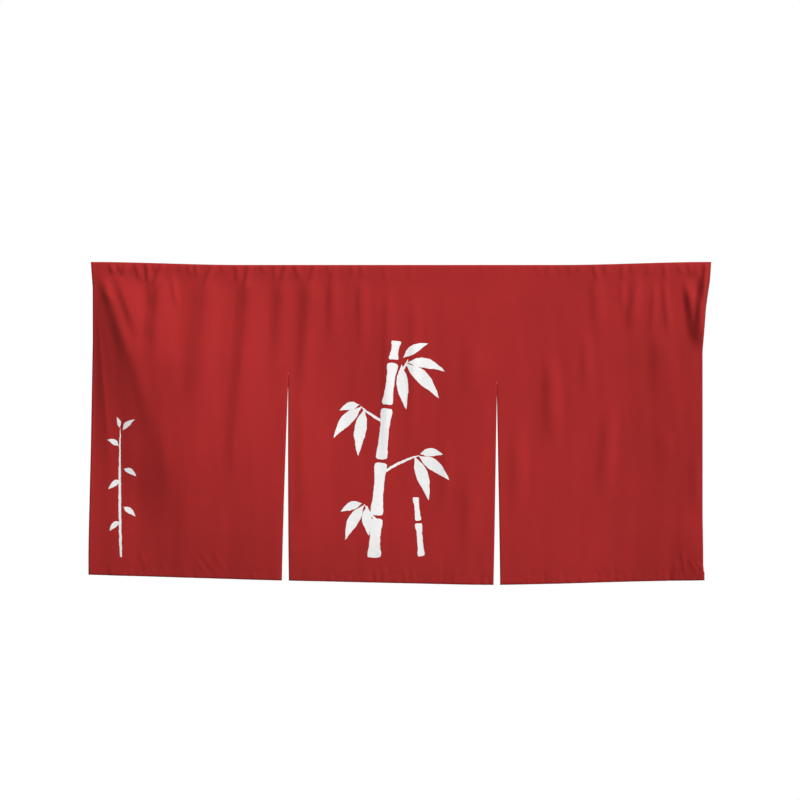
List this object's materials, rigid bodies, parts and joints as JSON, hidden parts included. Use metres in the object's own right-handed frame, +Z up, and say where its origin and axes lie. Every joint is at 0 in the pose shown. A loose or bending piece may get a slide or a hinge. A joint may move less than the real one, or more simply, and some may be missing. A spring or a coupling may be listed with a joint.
{
  "type": "noren curtain",
  "caption": "Wide split door curtain of dyed cloth with a rod pocket along the top and slits that part its lower part into hanging panels.",
  "frame": {"origin": "middle of the top edge, on the plane that the cloth hangs in", "axes": "+X to the right across the curtain as seen from the front, -Y out of the decorated front face, +Z up"},
  "size_m": [1.651, 0.061, 0.856],
  "materials": {
    "dyed_cloth": "matte",
    "pocket_cloth": "matte",
    "white_dye": "matte",
    "sewing_thread": "satin"
  },
  "bodies": {
    "root": {"cloth": "dyed_cloth", "rod_pocket": "pocket_cloth"}
  },
  "joints": []
}
